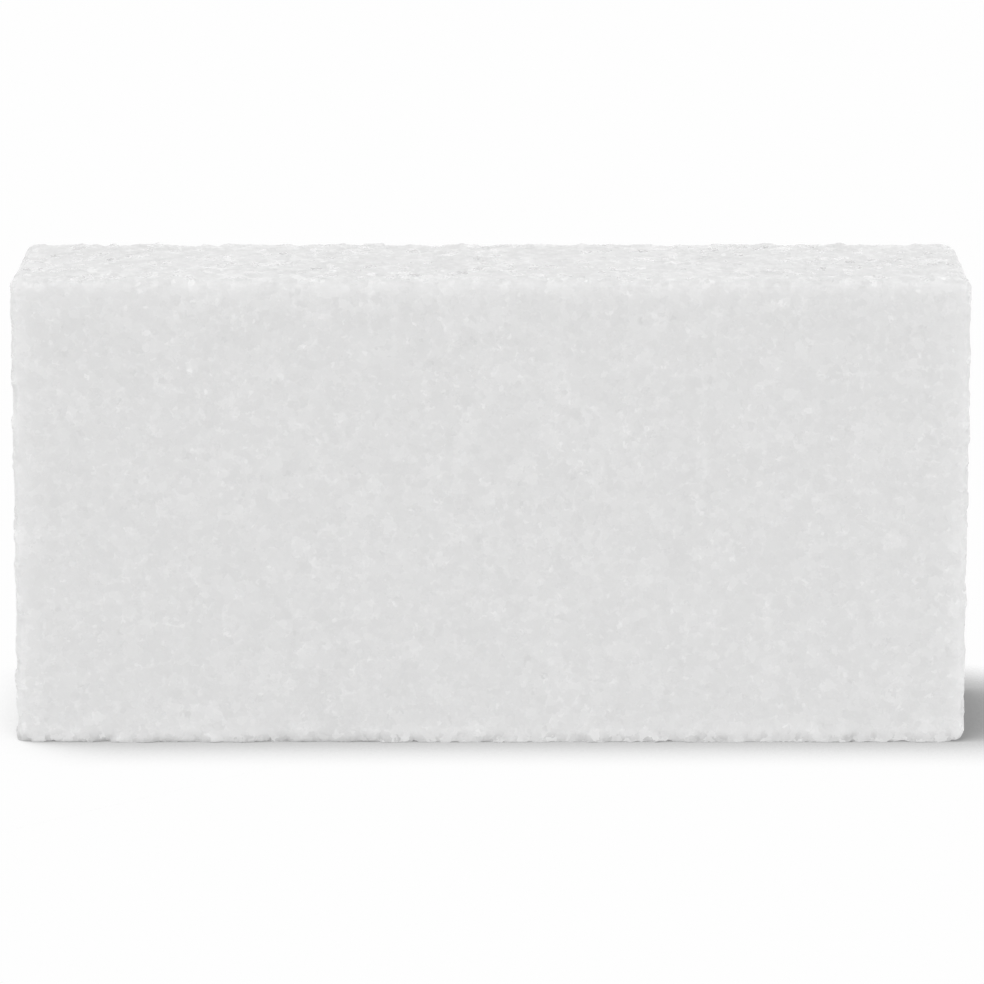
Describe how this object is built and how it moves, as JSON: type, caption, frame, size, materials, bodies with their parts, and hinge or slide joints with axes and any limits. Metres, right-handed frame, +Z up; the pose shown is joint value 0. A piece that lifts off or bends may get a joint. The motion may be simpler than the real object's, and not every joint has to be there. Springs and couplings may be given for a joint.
{
  "type": "foam block",
  "caption": "Rectangular block of rigid white coarse-celled craft foam with rubbed-down edges and a knocked lower corner, standing on its long narrow face.",
  "frame": {"origin": "middle of the bottom face, on the surface that the block stands on", "axes": "+X along the length to the block's right end, +Y from the front face through the thickness to the back face, +Z up the height"},
  "size_m": [0.2006, 0.0484, 0.0991],
  "materials": {
    "polystyrene_foam": "sawn open-cell look, matte with small glints"
  },
  "bodies": {
    "root": {"foam_block": "polystyrene_foam"}
  },
  "joints": []
}
